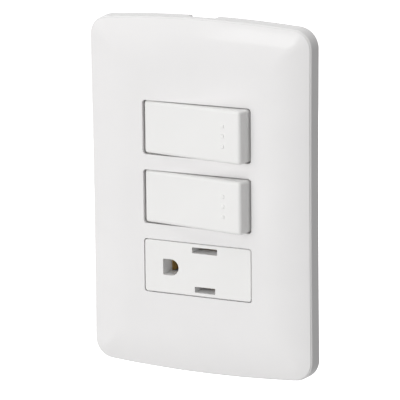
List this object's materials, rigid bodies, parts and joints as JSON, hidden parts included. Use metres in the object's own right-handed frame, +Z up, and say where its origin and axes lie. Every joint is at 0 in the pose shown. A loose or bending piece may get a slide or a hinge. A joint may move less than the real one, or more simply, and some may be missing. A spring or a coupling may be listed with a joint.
{
  "type": "switch and socket combination",
  "caption": "Pillowed wall plate with rocker switches stacked above a flush socket, on a screwed support frame, with sprung plungers and brass contacts inside.",
  "frame": {"origin": "on the wall's surface, halfway between the two fixing screws, at the middle of the middle module", "axes": "+Z up the plate, +Y into the wall box, +X to the right as seen from the front"},
  "size_m": [0.0768, 0.0316, 0.1142],
  "materials": {
    "plate_gloss": "moulded gloss",
    "key_gloss": "moulded semi-gloss",
    "frame_plastic": "fine matt",
    "module_plastic": "fine matt",
    "nylon": "natural nylon",
    "contact_brass": "stamped strip",
    "zinc_steel": "zinc plated"
  },
  "bodies": {
    "fixed_parts": {"cover_plate": "plate_gloss", "support_frame": "frame_plastic", "fixing_screw_top": "zinc_steel", "fixing_screw_bottom": "zinc_steel", "upper_switch_carrier": "module_plastic", "upper_switch_base": "module_plastic", "upper_switch_common_terminal": "contact_brass", "upper_switch_live_terminal": "contact_brass", "upper_switch_common_screw": "zinc_steel", "upper_switch_common_clamp": "zinc_steel", "upper_switch_live_screw": "zinc_steel", "upper_switch_live_clamp": "zinc_steel", "lower_switch_carrier": "module_plastic", "lower_switch_base": "module_plastic", "lower_switch_common_terminal": "contact_brass", "lower_switch_live_terminal": "contact_brass", "lower_switch_common_screw": "zinc_steel", "lower_switch_common_clamp": "zinc_steel", "lower_switch_live_screw": "zinc_steel", "lower_switch_live_clamp": "zinc_steel", "socket_face": "key_gloss", "socket_base": "module_plastic", "socket_neutral_contact": "contact_brass", "socket_line_contact": "contact_brass", "socket_earth_contact": "contact_brass", "socket_neutral_screw": "zinc_steel", "socket_neutral_clamp": "zinc_steel", "socket_line_screw": "zinc_steel", "socket_line_clamp": "zinc_steel", "socket_earth_screw": "zinc_steel", "socket_earth_clamp": "zinc_steel"},
    "upper_key": {"upper_switch_rocker": "key_gloss", "upper_switch_plunger": "nylon", "upper_switch_plunger_spring": "zinc_steel"},
    "upper_seesaw": {"upper_switch_rocking_contact": "contact_brass"},
    "lower_key": {"lower_switch_rocker": "key_gloss", "lower_switch_plunger": "nylon", "lower_switch_plunger_spring": "zinc_steel"},
    "lower_seesaw": {"lower_switch_rocking_contact": "contact_brass"}
  },
  "joints": [
    {"name": "upper_key_tilt", "type": "hinge", "parent": "fixed_parts", "child": "upper_key", "pos_m": [0, -0.00536, 0.0224], "axis": [0, 0, 1], "range_deg": [0, 16]},
    {"name": "upper_seesaw_tilt", "type": "hinge", "parent": "fixed_parts", "child": "upper_seesaw", "pos_m": [0, 0.0074, 0.0224], "axis": [0, 0, 1], "range_deg": [-16, 0]},
    {"name": "lower_key_tilt", "type": "hinge", "parent": "fixed_parts", "child": "lower_key", "pos_m": [0, -0.00536, 0], "axis": [0, 0, 1], "range_deg": [0, 16]},
    {"name": "lower_seesaw_tilt", "type": "hinge", "parent": "fixed_parts", "child": "lower_seesaw", "pos_m": [0, 0.0074, 0], "axis": [0, 0, 1], "range_deg": [-16, 0]}
  ],
  "couplings": [
    {"joint": "upper_seesaw_tilt", "follows": "upper_key_tilt", "ratio": -1},
    {"joint": "lower_seesaw_tilt", "follows": "lower_key_tilt", "ratio": -1}
  ]
}
